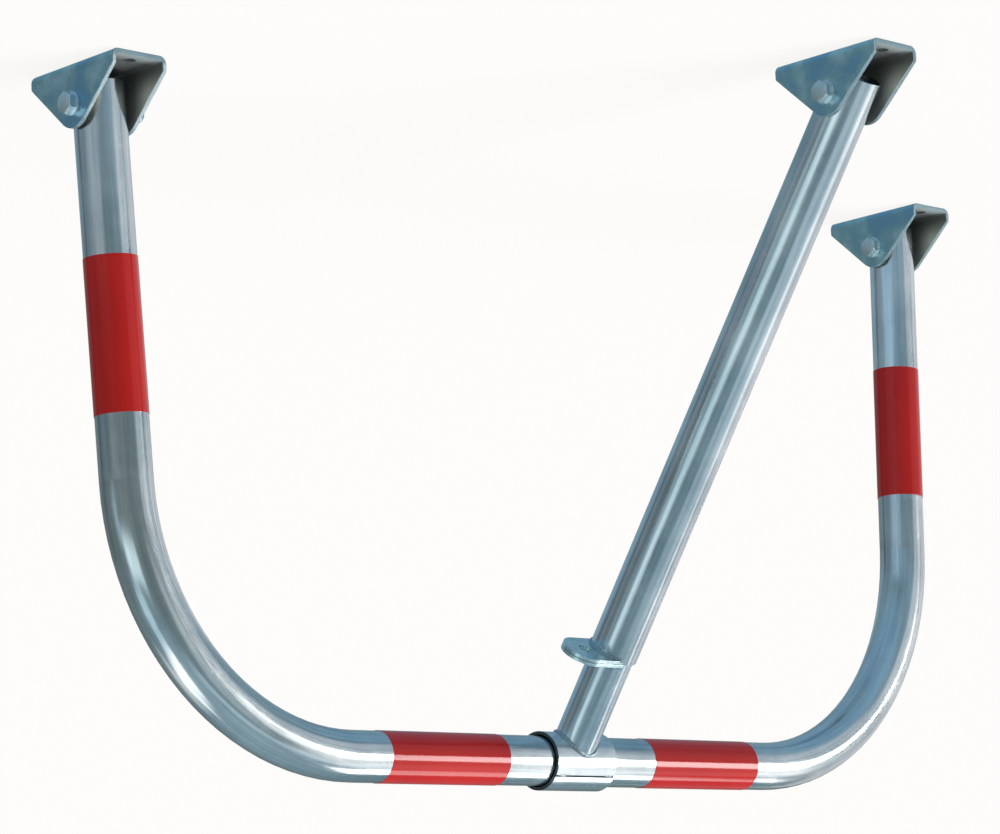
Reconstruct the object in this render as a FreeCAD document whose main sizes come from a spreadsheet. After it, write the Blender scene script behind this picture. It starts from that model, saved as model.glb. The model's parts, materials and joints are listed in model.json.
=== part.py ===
import FreeCAD, Part
import math
import os

import Sketcher

# Folding three-leg parking hoop. Millimetres, +Z up, origin on the ground midway between the
# two hoop feet. +X runs along the hoop, the strut foot stands in front of it at -Y.
SIZES = {
    # hoop: one bent tube, pivoted in a bracket at each foot
    "hoop_height": 536.0,           # axis of the crown above the ground
    "foot_span": 960.0,             # between the two hoop pivots
    "leg_splay": 2.9,               # degrees that each leg leans in towards the crown
    "bend_radius": 219.0,           # on the tube's axis
    "tube_diameter": 42.4,          # hoop and outer strut tube alike
    "hoop_wall": 2.0,
    # strut: an outer tube on the front foot, and an inner tube that plugs into it
    "strut_reach": 357.0,           # hoop pivots to strut pivot, along Y
    "strut_wall": 1.5,
    "slide_clearance": 0.9,         # all round, between inner and outer tube
    "inner_wall": 2.0,
    "inner_exposed": 105.0,         # crown axis to the mouth of the outer tube
    "inner_engaged": 60.0,          # length of inner tube inside the outer tube
    # collar: two half shells that turn on the crown
    "collar_clearance": 1.0,
    "collar_wall": 2.8,
    "collar_length": 70.0,
    "seam_chamfer": 0.8,            # makes the groove where the two halves meet
    # lugs: a pair of plates, face to face, for the shackle of a padlock
    "lug_width": 40.0,
    "lug_thickness": 3.0,
    "lug_reach": 34.0,              # strut axis to the centre of the rounded end
    "lug_start": 4.0,               # strut axis to the lug's inner edge
    "lug_gap": 0.4,
    "shackle_hole": 12.0,
    # ground brackets: folded plate with two cheeks
    "pivot_height": 34.0,
    "plate": 4.0,
    "cheek_clearance": 1.5,         # between tube and cheek
    "floor_clearance": 1.2,         # between a tube's swinging end and the bracket's floor
    "bracket_length": 104.0,
    "cheek_end_height": 12.0,
    "cheek_apex_radius": 19.0,      # round the pivot
    "fold_radius": 2.5,             # inside the fold
    "anchor_spacing": 76.0,
    "anchor_hole": 11.0,
    # pivot bolts with their nuts and washers
    "bolt_diameter": 10.0,
    "pivot_clearance": 0.3,         # all round the bolt
    "hex_flats": 16.0,
    "hex_inset": 0.4,               # middle of a flat to the circle left on the face
    "hex_bevel": 30.0,              # degrees that the corners are turned off at
    "head_height": 6.4,
    "nut_height": 6.0,
    "nut_collar_height": 3.5,
    "nut_collar_diameter": 14.0,
    "thread_spare": 3.0,            # bolt end past the nut
    "end_chamfer": 1.0,
    "washer_diameter": 20.0,
    "washer_thickness": 2.0,
    # reflective tape, wrapped round the hoop tube
    "tape_thickness": 0.4,
    "leg_band_length": 124.0,
    "leg_band_height": 215.0,       # middle of the band above the ground
    "crown_band_gap": 52.0,         # from the end of the collar to the band
    "crown_band_margin": 28.0,      # from the band to the start of the bend
}

TUBE_RADIUS = "(Size.tube_diameter / 2)"
RISE = "(Size.hoop_height - Size.pivot_height)"
CROWN_CORNER = f"(Size.foot_span / 2 - {RISE} * tan(Size.leg_splay))"
BEND_START = f"({CROWN_CORNER} - Size.bend_radius * tan(45 - Size.leg_splay / 2))"
END_SWING = "(Size.pivot_height - Size.plate - Size.floor_clearance)"
TUBE_TAIL = f"sqrt({END_SWING}^2 - {TUBE_RADIUS}^2)"
STRUT_LENGTH = f"sqrt({RISE}^2 + Size.strut_reach^2)"
STRUT_LEAN = f"atan(Size.strut_reach / {RISE})"
CHEEK_INSIDE = f"({TUBE_RADIUS} + Size.cheek_clearance)"
CHEEK_OUTSIDE = f"({CHEEK_INSIDE} + Size.plate)"
CHEEK_TOP = "(Size.pivot_height + Size.cheek_apex_radius)"
INNER_RADIUS = f"({TUBE_RADIUS} - Size.strut_wall - Size.slide_clearance)"
COLLAR_BORE = f"({TUBE_RADIUS} + Size.collar_clearance)"
COLLAR_RADIUS = f"({COLLAR_BORE} + Size.collar_wall)"
PIVOT_HOLE = "(Size.bolt_diameter / 2 + Size.pivot_clearance)"
BOLT_SEAT = f"({CHEEK_OUTSIDE} + Size.washer_thickness)"
HEX_CORNER = "(Size.hex_flats / sqrt(3))"
HEX_RIM = "(Size.hex_flats / 2 - Size.hex_inset)"
NUT_TOP = "(Size.nut_height + Size.nut_collar_height)"

SAME_PLACE = 1e-4

doc = FreeCAD.newDocument("ParkingHoop")
sheet = doc.addObject("Spreadsheet::Sheet", "Size")
for row, (alias, number) in enumerate(SIZES.items(), start=1):
    sheet.set(f"A{row}", alias)
    sheet.set(f"B{row}", str(number))
    sheet.setAlias(f"B{row}", alias)
doc.recompute()

parts = []


def measure(expression):
    return float(sheet.evalExpression(expression))


def vector(x, y):
    return FreeCAD.Vector(x, y, 0)


def finish(sub_part, label):
    sub_part.Label = label
    parts.append(sub_part)
    return sub_part


def new_body(label):
    return finish(doc.addObject("PartDesign::Body", label), label)


def place(sub_part, x="0", y="0", z="0", axis=None, angle="0"):
    if axis:
        turn = FreeCAD.Rotation(FreeCAD.Vector(*axis), measure(angle))
        sub_part.Placement = FreeCAD.Placement(FreeCAD.Vector(), turn)
        sub_part.setExpression("Placement.Rotation.Angle", angle)
    for name, expression in (("x", x), ("y", y), ("z", z)):
        sub_part.setExpression(f"Placement.Base.{name}", expression)


def origin_plane(body, role):
    return next(item for item in body.Origin.OriginFeatures if item.Role == role)


def sketch_on(body, role, name):
    sketch = body.newObject("Sketcher::SketchObject", name)
    sketch.AttachmentSupport = [(origin_plane(body, role), "")]
    sketch.MapMode = "FlatFace"
    return sketch


def dimension(sketch, kind, references, expression):
    index = sketch.addConstraint(Sketcher.Constraint(kind, *references, measure(expression)))
    sketch.setExpression(f"Constraints[{index}]", expression)


def relate(sketch, kind, *references):
    sketch.addConstraint(Sketcher.Constraint(kind, *references))


def draw_line(sketch, start, end):
    return sketch.addGeometry(Part.LineSegment(vector(*start), vector(*end)), False)


def draw_arc(sketch, centre, radius, first, last):
    circle = Part.Circle(vector(*centre), FreeCAD.Vector(0, 0, 1), radius)
    return sketch.addGeometry(Part.ArcOfCircle(circle, first, last), False)


def draw_circle(sketch, radius, x="0", y="0"):
    centre = vector(measure(x), measure(y))
    circle = Part.Circle(centre, FreeCAD.Vector(0, 0, 1), measure(radius))
    index = sketch.addGeometry(circle, False)
    dimension(sketch, "Radius", (index,), radius)
    for kind, offset, other_axis in (("DistanceX", x, -2), ("DistanceY", y, -1)):
        if offset == "0":
            relate(sketch, "PointOnObject", index, 3, other_axis)
        else:
            dimension(sketch, kind, (-1, 1, index, 3), offset)
    return index


def draw_hexagon(sketch, corner):
    radius = measure(corner)
    angles = [math.radians(60 * step) for step in range(6)]
    points = [(radius * math.cos(angle), radius * math.sin(angle)) for angle in angles]
    sides = [draw_line(sketch, points[step], points[(step + 1) % 6]) for step in range(6)]
    ring = draw_circle(sketch, corner)
    sketch.setConstruction(ring, True)
    for step, side in enumerate(sides):
        following = sides[(step + 1) % 6]
        relate(sketch, "Coincident", side, 2, following, 1)
        relate(sketch, "PointOnObject", side, 2, ring)
        if step < 5:
            relate(sketch, "Equal", side, following)
    relate(sketch, "PointOnObject", sides[0], 1, -1)


def pad(body, sketch, length, symmetric=False, downwards=False):
    feature = body.newObject("PartDesign::Pad", "Pad")
    feature.Profile = sketch
    feature.setExpression("Length", length)
    if symmetric:
        feature.SideType = "Symmetric"
    feature.Reversed = downwards
    doc.recompute()
    return feature


def cut_through(body, sketch):
    before = body.Shape.Volume
    feature = body.newObject("PartDesign::Pocket", "Pocket")
    feature.Profile = sketch
    feature.Type = "ThroughAll"
    feature.SideType = "Symmetric"
    doc.recompute()
    if not body.Shape.Volume < before:
        raise RuntimeError(f"{body.Label}: {sketch.Label} cuts nothing")
    return feature


def edges_where(feature, test):
    return [f"Edge{number}" for number, edge in enumerate(feature.Shape.Edges, start=1) if test(edge)]


def round_edges(body, feature, test, radius):
    fillet = body.newObject("PartDesign::Fillet", "Fillet")
    fillet.Base = (feature, edges_where(feature, test))
    fillet.setExpression("Radius", radius)
    doc.recompute()
    return fillet


# Hoop: half of the bent tube is swept from the middle of the crown and mirrored.
def make_hoop():
    body = new_body("hoop_tube")
    section = sketch_on(body, "YZ_Plane", "HoopSection")
    draw_circle(section, TUBE_RADIUS, y="Size.hoop_height")
    draw_circle(section, f"{TUBE_RADIUS} - Size.hoop_wall", y="Size.hoop_height")

    splay = math.radians(measure("Size.leg_splay"))
    crown, radius = measure("Size.hoop_height"), measure("Size.bend_radius")
    half_span, pivot = measure("Size.foot_span / 2"), measure("Size.pivot_height")
    bend_x, tail = measure(BEND_START), measure(TUBE_TAIL)
    leg_top = (bend_x + radius * math.cos(splay), crown - radius + radius * math.sin(splay))
    leg_end = (half_span + tail * math.sin(splay), pivot - tail * math.cos(splay))

    path = sketch_on(body, "XZ_Plane", "HoopPath")
    top = draw_line(path, (0, crown), (bend_x, crown))
    bend = draw_arc(path, (bend_x, crown - radius), radius, splay, math.pi / 2)
    leg = draw_line(path, leg_top, leg_end)
    relate(path, "Horizontal", top)
    relate(path, "PointOnObject", top, 1, -2)
    dimension(path, "DistanceY", (-1, 1, top, 1), "Size.hoop_height")
    relate(path, "Tangent", top, 2, bend, 2)
    relate(path, "Tangent", bend, 1, leg, 1)
    dimension(path, "Radius", (bend,), "Size.bend_radius")
    dimension(path, "DistanceX", (-1, 1, leg, 2),
              f"Size.foot_span / 2 + {TUBE_TAIL} * sin(Size.leg_splay)")
    dimension(path, "DistanceY", (-1, 1, leg, 2),
              f"Size.pivot_height - {TUBE_TAIL} * cos(Size.leg_splay)")
    angle = path.addConstraint(Sketcher.Constraint("Angle", leg, splay - math.pi / 2))
    path.setExpression(f"Constraints[{angle}]", "(Size.leg_splay - 90) * 1 deg")
    doc.recompute()

    pipe = body.newObject("PartDesign::AdditivePipe", "HalfHoop")
    pipe.Profile = section
    pipe.Spine = (path, ["Edge1", "Edge2", "Edge3"])
    doc.recompute()
    mirror = body.newObject("PartDesign::Mirrored", "OtherHalf")
    mirror.Originals = [pipe]
    mirror.MirrorPlane = (origin_plane(body, "YZ_Plane"), [""])
    body.Tip = mirror
    doc.recompute()

    pivots = sketch_on(body, "YZ_Plane", "PivotHoles")
    draw_circle(pivots, PIVOT_HOLE, y="Size.pivot_height")
    cut_through(body, pivots)


# Bands: reflective tape as thin sleeves, modelled along their own Z.
def make_band(label, length):
    sleeve = doc.addObject("Part::Cylinder", label + "_outside")
    bore = doc.addObject("Part::Cylinder", label + "_inside")
    sleeve.setExpression("Radius", f"{TUBE_RADIUS} + Size.tape_thickness")
    bore.setExpression("Radius", TUBE_RADIUS)
    for solid in (sleeve, bore):
        solid.setExpression("Height", length)
    band = doc.addObject("Part::Cut", label)
    band.Base = sleeve
    band.Tool = bore
    return finish(band, label)


def make_bands():
    for side, sign in (("left", "-1"), ("right", "1")):
        low = "(Size.leg_band_height - Size.leg_band_length / 2 * cos(Size.leg_splay))"
        leg_x = f"(Size.foot_span / 2 - ({low} - Size.pivot_height) * tan(Size.leg_splay))"
        leg_band = make_band(f"band_leg_{side}", "Size.leg_band_length")
        lean = f"-1 * ({sign}) * Size.leg_splay"
        place(leg_band, x=f"{sign} * {leg_x}", z=low, axis=(0, 1, 0), angle=lean)

        near = "(Size.collar_length / 2 + Size.crown_band_gap)"
        far = f"({BEND_START} - Size.crown_band_margin)"
        crown_band = make_band(f"band_crown_{side}", f"{far} - {near}")
        start = near if side == "right" else f"-1 * {far}"
        place(crown_band, x=start, z="Size.hoop_height", axis=(0, 1, 0), angle="90")


# Brackets: the cheek outline is padded to the full width, then the channel for the tube is cut.
def draw_cheek(sketch):
    half, end = measure("Size.bracket_length / 2"), measure("Size.cheek_end_height")
    pivot, apex = measure("Size.pivot_height"), measure("Size.cheek_apex_radius")
    slope = math.atan2(end - pivot, half) + math.acos(apex / math.hypot(half, end - pivot))
    touch = (apex * math.cos(slope), pivot + apex * math.sin(slope))
    base = draw_line(sketch, (-half, 0), (half, 0))
    front = draw_line(sketch, (half, 0), (half, end))
    rise = draw_line(sketch, (half, end), touch)
    crest = draw_arc(sketch, (0, pivot), apex, slope, math.pi - slope)
    fall = draw_line(sketch, (-touch[0], touch[1]), (-half, end))
    back = draw_line(sketch, (-half, end), (-half, 0))
    for first, second in ((base, front), (front, rise), (fall, back), (back, base)):
        relate(sketch, "Coincident", first, 2, second, 1)
    relate(sketch, "Tangent", rise, 2, crest, 1)
    relate(sketch, "Tangent", crest, 2, fall, 1)
    relate(sketch, "PointOnObject", base, 1, -1)
    relate(sketch, "Symmetric", base, 1, base, 2, -2)
    relate(sketch, "Vertical", front)
    relate(sketch, "Vertical", back)
    relate(sketch, "Equal", front, back)
    relate(sketch, "PointOnObject", crest, 3, -2)
    dimension(sketch, "DistanceX", (base, 1, base, 2), "Size.bracket_length")
    dimension(sketch, "DistanceY", (front, 1, front, 2), "Size.cheek_end_height")
    dimension(sketch, "DistanceY", (-1, 1, crest, 3), "Size.pivot_height")
    dimension(sketch, "Radius", (crest,), "Size.cheek_apex_radius")


def draw_channel(sketch):
    inside, floor, top = measure(CHEEK_INSIDE), measure("Size.plate"), measure(CHEEK_TOP)
    corners = ((-inside, floor), (inside, floor), (inside, top), (-inside, top))
    sides = [draw_line(sketch, corners[step], corners[(step + 1) % 4]) for step in range(4)]
    for step, side in enumerate(sides):
        relate(sketch, "Coincident", side, 2, sides[(step + 1) % 4], 1)
    relate(sketch, "Horizontal", sides[2])
    for side in sides[1::2]:
        relate(sketch, "Vertical", side)
    relate(sketch, "Symmetric", sides[0], 1, sides[0], 2, -2)
    dimension(sketch, "DistanceX", (sides[0], 1, sides[0], 2), f"2 * {CHEEK_INSIDE}")
    dimension(sketch, "DistanceY", (-1, 1, sides[0], 1), "Size.plate")
    dimension(sketch, "DistanceY", (-1, 1, sides[1], 2), CHEEK_TOP)


def along_y_at(x, z):
    def test(edge):
        box = edge.BoundBox
        straight = box.XLength < SAME_PLACE and box.ZLength < SAME_PLACE < box.YLength
        return straight and abs(abs(box.XMin) - x) < SAME_PLACE and abs(box.ZMin - z) < SAME_PLACE
    return test


def make_bracket(label, x, y):
    body = new_body(label)
    cheek = sketch_on(body, "YZ_Plane", "Cheek")
    draw_cheek(cheek)
    pad(body, cheek, f"2 * {CHEEK_OUTSIDE}", symmetric=True)
    channel = sketch_on(body, "XZ_Plane", "Channel")
    draw_channel(channel)
    folded = cut_through(body, channel)
    inner = along_y_at(measure(CHEEK_INSIDE), measure("Size.plate"))
    folded = round_edges(body, folded, inner, "Size.fold_radius")
    outer = along_y_at(measure(CHEEK_OUTSIDE), 0)
    round_edges(body, folded, outer, "Size.fold_radius + Size.plate")
    pivot = sketch_on(body, "YZ_Plane", "PivotHole")
    draw_circle(pivot, PIVOT_HOLE, y="Size.pivot_height")
    cut_through(body, pivot)
    anchors = sketch_on(body, "XY_Plane", "AnchorHoles")
    for sign in ("-1", "1"):
        draw_circle(anchors, "Size.anchor_hole / 2", y=f"{sign} * Size.anchor_spacing / 2")
    cut_through(body, anchors)
    place(body, x=x, y=y)


# Pivot bolt: along its own Z, with the head's seat at zero.
def make_bolt(label, x, y):
    body = new_body(label)
    head = sketch_on(body, "XY_Plane", "Head")
    draw_hexagon(head, HEX_CORNER)
    pad(body, head, "Size.head_height")
    shank = sketch_on(body, "XY_Plane", "Shank")
    draw_circle(shank, "Size.bolt_diameter / 2")
    length = f"2 * {BOLT_SEAT} + {NUT_TOP} + Size.thread_spare"
    feature = pad(body, shank, length, downwards=True)
    tip = -measure(length)
    chamfer = body.newObject("PartDesign::Chamfer", "TipChamfer")
    chamfer.Base = (feature, edges_where(feature, lambda edge: edge.BoundBox.ZMax < tip + SAME_PLACE))
    chamfer.setExpression("Size", "Size.end_chamfer")
    doc.recompute()
    bevel_hexagon(body, "Size.head_height")
    seat = f"{x} + {BOLT_SEAT}"
    place(body, x=seat, y=y, z="Size.pivot_height", axis=(0, 1, 0), angle="90")


# The corners of a hexagon's outer face are turned off.
def bevel_hexagon(body, height):
    rim, corner, top = measure(HEX_RIM), measure(HEX_CORNER), measure(height)
    low = f"{height} - ({HEX_CORNER} - {HEX_RIM}) * tan(Size.hex_bevel)"
    points = ((rim, top), (corner, measure(low)), (corner, top))
    bevel = sketch_on(body, "XZ_Plane", "Bevel")
    sides = [draw_line(bevel, points[step], points[(step + 1) % 3]) for step in range(3)]
    for step, side in enumerate(sides):
        relate(bevel, "Coincident", side, 2, sides[(step + 1) % 3], 1)
    dimension(bevel, "DistanceX", (-1, 1, sides[0], 1), HEX_RIM)
    dimension(bevel, "DistanceX", (-1, 1, sides[0], 2), HEX_CORNER)
    dimension(bevel, "DistanceY", (-1, 1, sides[0], 2), low)
    dimension(bevel, "DistanceY", (-1, 1, sides[0], 1), height)
    relate(bevel, "Horizontal", sides[2])
    relate(bevel, "Vertical", sides[1])
    before = body.Shape.Volume
    groove = body.newObject("PartDesign::Groove", "HexBevel")
    groove.Profile = bevel
    groove.ReferenceAxis = (bevel, ["V_Axis"])
    groove.Angle = 360
    doc.recompute()
    if not body.Shape.Volume < before:
        raise RuntimeError(f"{body.Label}: the bevel cuts nothing")


# Lock nut: a hexagon with the round collar that holds the insert, its seat at zero.
def make_nut(label, x, y):
    body = new_body(label)
    hexagon = sketch_on(body, "XY_Plane", "Hexagon")
    draw_hexagon(hexagon, HEX_CORNER)
    pad(body, hexagon, "Size.nut_height")
    collar = sketch_on(body, "XY_Plane", "InsertCollar")
    draw_circle(collar, "Size.nut_collar_diameter / 2")
    feature = pad(body, collar, NUT_TOP)
    top = measure(NUT_TOP)
    round_edges(body, feature, lambda edge: edge.BoundBox.ZMin > top - SAME_PLACE, "Size.end_chamfer")
    bevel_hexagon(body, "Size.nut_height")
    bore = sketch_on(body, "XY_Plane", "Bore")
    draw_circle(bore, "Size.bolt_diameter / 2")
    cut_through(body, bore)
    seat = f"{x} - {BOLT_SEAT}"
    place(body, x=seat, y=y, z="Size.pivot_height", axis=(0, 1, 0), angle="-90")


def make_washers(label, x, y):
    rings = []
    for side, near in (("head", CHEEK_OUTSIDE), ("nut", f"(-1 * {BOLT_SEAT})")):
        disc = doc.addObject("Part::Cylinder", f"{label}_{side}_disc")
        hole = doc.addObject("Part::Cylinder", f"{label}_{side}_hole")
        disc.setExpression("Radius", "Size.washer_diameter / 2")
        hole.setExpression("Radius", PIVOT_HOLE)
        for solid in (disc, hole):
            solid.setExpression("Height", "Size.washer_thickness")
        ring = doc.addObject("Part::Cut", f"{label}_{side}")
        ring.Base = disc
        ring.Tool = hole
        place(ring, x=f"{x} + {near}", y=y, z="Size.pivot_height", axis=(0, 1, 0), angle="90")
        rings.append(ring)
    pair = doc.addObject("Part::Compound", label)
    pair.Links = rings
    finish(pair, label)


# Strut pieces are modelled upright, along their own Z, and leaned back together.
def lean_from_foot(sub_part):
    place(sub_part, y="-1 * Size.strut_reach", z="Size.pivot_height",
          axis=(-1, 0, 0), angle=STRUT_LEAN)


def lean_from_crown(sub_part):
    place(sub_part, z="Size.hoop_height", axis=(-1, 0, 0), angle=STRUT_LEAN)


def start_sketch_at(sketch, height):
    sketch.setExpression("AttachmentOffset.Base.z", height)


def make_outer_tube():
    body = new_body("strut_outer_tube")
    section = sketch_on(body, "XY_Plane", "OuterSection")
    start_sketch_at(section, f"-1 * {TUBE_TAIL}")
    draw_circle(section, TUBE_RADIUS)
    draw_circle(section, f"{TUBE_RADIUS} - Size.strut_wall")
    pad(body, section, f"{STRUT_LENGTH} - Size.inner_exposed + {TUBE_TAIL}")
    pivot = sketch_on(body, "YZ_Plane", "PivotHole")
    draw_circle(pivot, PIVOT_HOLE)
    cut_through(body, pivot)
    lean_from_foot(body)


def make_inner_tube():
    body = new_body("strut_inner_tube")
    section = sketch_on(body, "XY_Plane", "InnerSection")
    start_sketch_at(section, "-1 * (Size.inner_exposed + Size.inner_engaged)")
    draw_circle(section, INNER_RADIUS)
    draw_circle(section, f"{INNER_RADIUS} - Size.inner_wall")
    pad(body, section, "Size.inner_exposed + Size.inner_engaged")
    cope = sketch_on(body, "YZ_Plane", "Cope")
    draw_circle(cope, COLLAR_RADIUS)
    cut_through(body, cope)
    lean_from_crown(body)


def make_collar_half(label, first):
    body = new_body(label)
    half = sketch_on(body, "YZ_Plane", "HalfShell")
    arcs = []
    for radius in (COLLAR_BORE, COLLAR_RADIUS):
        arc = draw_arc(half, (0, 0), measure(radius), first, first + math.pi)
        relate(half, "Coincident", arc, 3, -1, 1)
        dimension(half, "Radius", (arc,), radius)
        for tip in (1, 2):
            relate(half, "PointOnObject", arc, tip, -1)
        arcs.append((arc, measure(radius) * math.cos(first)))
    (bore, bore_reach), (skin, skin_reach) = arcs
    for tip, side in ((1, 1), (2, -1)):
        seam = draw_line(half, (side * bore_reach, 0), (side * skin_reach, 0))
        relate(half, "Coincident", seam, 1, bore, tip)
        relate(half, "Coincident", seam, 2, skin, tip)
    shell = pad(body, half, "Size.collar_length", symmetric=True)
    rim = measure(COLLAR_RADIUS)
    groove = body.newObject("PartDesign::Chamfer", "SeamGroove")
    groove.Base = (shell, edges_where(shell, lambda edge: on_seam(edge.BoundBox, rim)))
    groove.setExpression("Size", "Size.seam_chamfer")
    doc.recompute()
    lean_from_crown(body)


def on_seam(box, rim):
    straight = box.YLength < SAME_PLACE and box.ZLength < SAME_PLACE < box.XLength
    return straight and abs(abs(box.YMin) - rim) < SAME_PLACE


# Lug: a tab with a rounded end, cut to the tube that it is welded to.
def make_lug(label, tube_radius, low):
    body = new_body(label)
    outline = sketch_on(body, "XY_Plane", "Outline")
    start_sketch_at(outline, low)
    start, reach = measure("Size.lug_start"), measure("Size.lug_reach")
    half = measure("Size.lug_width / 2")
    lower = draw_line(outline, (start, -half), (reach, -half))
    tip = draw_arc(outline, (reach, 0), half, -math.pi / 2, math.pi / 2)
    upper = draw_line(outline, (reach, half), (start, half))
    root = draw_line(outline, (start, half), (start, -half))
    relate(outline, "Tangent", lower, 2, tip, 1)
    relate(outline, "Tangent", tip, 2, upper, 1)
    relate(outline, "Coincident", upper, 2, root, 1)
    relate(outline, "Coincident", root, 2, lower, 1)
    relate(outline, "Horizontal", lower)
    relate(outline, "Vertical", root)
    relate(outline, "PointOnObject", tip, 3, -1)
    dimension(outline, "Radius", (tip,), "Size.lug_width / 2")
    dimension(outline, "DistanceX", (-1, 1, tip, 3), "Size.lug_reach")
    dimension(outline, "DistanceX", (-1, 1, root, 1), "Size.lug_start")
    pad(body, outline, "Size.lug_thickness")
    saddle = sketch_on(body, "XY_Plane", "Saddle")
    draw_circle(saddle, tube_radius)
    cut_through(body, saddle)
    hole = sketch_on(body, "XY_Plane", "ShackleHole")
    draw_circle(hole, "Size.shackle_hole / 2", x="Size.lug_reach")
    cut_through(body, hole)
    return body


def make_strut():
    make_outer_tube()
    mouth = f"{STRUT_LENGTH} - Size.inner_exposed"
    lean_from_foot(make_lug("outer_lug", TUBE_RADIUS, f"{mouth} - Size.lug_thickness"))
    make_inner_tube()
    lean_from_crown(make_lug("inner_lug", INNER_RADIUS, "Size.lug_gap - Size.inner_exposed"))
    make_collar_half("collar_upper_half", 0)
    make_collar_half("collar_lower_half", math.pi)


def make_feet():
    feet = (
        ("left", "hoop_foot_left", "-1 * Size.foot_span / 2", "0"),
        ("right", "hoop_foot_right", "Size.foot_span / 2", "0"),
        ("strut", "strut_foot", "0", "-1 * Size.strut_reach"),
    )
    for name, bracket, x, y in feet:
        make_bracket(bracket, x, y)
        make_bolt(f"pivot_bolt_{name}", x, y)
        make_washers(f"washers_{name}", x, y)
        make_nut(f"lock_nut_{name}", x, y)


def check_document():
    for item in doc.Objects:
        if "Invalid" in item.State or "Error" in item.State:
            raise RuntimeError(f"{item.Label} failed: {item.State}")
    for sub_part in parts:
        shape = sub_part.Shape
        if shape.isNull() or not shape.isValid() or not shape.Solids:
            raise RuntimeError(f"{sub_part.Label} has no valid solid")


def write_parts():
    os.makedirs("parts", exist_ok=True)
    for sub_part in parts:
        sub_part.Shape.exportStep(f"parts/{sub_part.Label}.step")
        box = sub_part.Shape.BoundBox
        corners = f"({box.XMin:.1f}, {box.YMin:.1f}, {box.ZMin:.1f}) to"
        corners += f" ({box.XMax:.1f}, {box.YMax:.1f}, {box.ZMax:.1f})"
        print(f"{sub_part.Label}: {len(sub_part.Shape.Solids)} solid, {corners}")


make_hoop()
make_bands()
make_feet()
make_strut()
doc.recompute()
check_document()
write_parts()
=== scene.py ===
import bpy
import json
import math
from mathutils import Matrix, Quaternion, Vector


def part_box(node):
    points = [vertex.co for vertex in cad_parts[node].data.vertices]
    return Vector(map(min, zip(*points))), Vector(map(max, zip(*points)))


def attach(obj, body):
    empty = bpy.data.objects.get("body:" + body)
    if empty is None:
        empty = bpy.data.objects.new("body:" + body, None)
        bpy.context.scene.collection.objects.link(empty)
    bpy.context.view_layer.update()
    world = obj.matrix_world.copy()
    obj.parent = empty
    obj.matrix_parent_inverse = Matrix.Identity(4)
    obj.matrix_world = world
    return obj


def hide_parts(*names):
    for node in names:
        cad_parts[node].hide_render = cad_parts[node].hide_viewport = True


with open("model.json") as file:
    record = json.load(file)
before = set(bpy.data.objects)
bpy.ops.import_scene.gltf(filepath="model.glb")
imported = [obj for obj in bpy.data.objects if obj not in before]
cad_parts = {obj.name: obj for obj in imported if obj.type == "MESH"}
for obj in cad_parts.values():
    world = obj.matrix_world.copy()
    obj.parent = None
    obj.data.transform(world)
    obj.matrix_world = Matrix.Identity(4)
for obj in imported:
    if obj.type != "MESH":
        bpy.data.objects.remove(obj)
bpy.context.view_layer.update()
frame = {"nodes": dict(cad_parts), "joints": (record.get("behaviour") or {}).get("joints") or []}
nodes = frame["nodes"]
pivots = {joint["name"]: Vector(joint["pos_m"]) for joint in frame["joints"]}
print("frame loaded,", len(nodes), "nodes")

# Where the main lines of the barrier run, read from the frame.
crownMiddle = pivots["collar_turn"]
strutAxis = (crownMiddle - pivots["strut_fold"]).normalized()
strutLean = math.atan2(strutAxis.y, strutAxis.z)
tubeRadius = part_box("strut_outer_tube")[1].x
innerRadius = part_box("strut_inner_tube")[1].x
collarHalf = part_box("collar_upper_half")[1].x
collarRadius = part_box("collar_upper_half")[1].z - crownMiddle.z
tapeThick = 0.0004  # film of a red band
bandRadius = tubeRadius + tapeThick
lugRound = 0.020  # the round end of a lug, about its shackle hole
anchorOffset = 0.038  # from the middle of a foot to each anchor hole


def deselectAll():
    if bpy.context.object and bpy.context.object.mode != "OBJECT":
        bpy.ops.object.mode_set(mode="OBJECT")
    bpy.ops.object.select_all(action="DESELECT")


def makeActive(piece):
    deselectAll()
    piece.select_set(True)
    bpy.context.view_layer.objects.active = piece


def editAll(piece):
    makeActive(piece)
    bpy.ops.object.mode_set(mode="EDIT")
    bpy.ops.mesh.select_all(action="SELECT")


def pickPoints(piece, test):
    bpy.ops.mesh.select_mode(type="VERT")
    bpy.ops.mesh.select_all(action="DESELECT")
    bpy.ops.object.mode_set(mode="OBJECT")
    for point in piece.data.vertices:
        point.select = test(point.co)
    bpy.ops.object.mode_set(mode="EDIT")


def pickFaces(piece, test):
    bpy.ops.mesh.select_mode(type="FACE")
    bpy.ops.mesh.select_all(action="DESELECT")
    bpy.ops.object.mode_set(mode="OBJECT")
    for face in piece.data.polygons:
        face.select = test(face)
    bpy.ops.object.mode_set(mode="EDIT")


def applyModifiers(piece):
    makeActive(piece)
    for modifier in list(piece.modifiers):
        bpy.ops.object.modifier_apply(modifier=modifier.name)


# A copy with a mesh of its own.
def copyPiece(piece):
    copy = bpy.data.objects.new(piece.name, piece.data.copy())
    bpy.context.scene.collection.objects.link(copy)
    return copy


def discard(piece):
    makeActive(piece)
    bpy.ops.object.delete()


# Puts a finished piece at the origin, names and paints it, and hands it to its body.
def settle(piece, name, body, look):
    makeActive(piece)
    bpy.ops.object.transform_apply(location=True, rotation=True, scale=True)
    piece.name = name
    piece.data.name = name
    piece.data.materials.clear()
    piece.data.materials.append(looks[look])
    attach(piece, body)


# Leans a piece that was modelled upright along the strut, with its origin at the middle of the crown.
def leanWithStrut(piece):
    piece.rotation_euler = (-strutLean, 0, 0)
    piece.location = crownMiddle


# How far a node reaches along the strut, measured from the crown.
def strutReach(name):
    reach = [(point.co - crownMiddle).dot(strutAxis) for point in nodes[name].data.vertices]
    return min(reach), max(reach)


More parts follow.
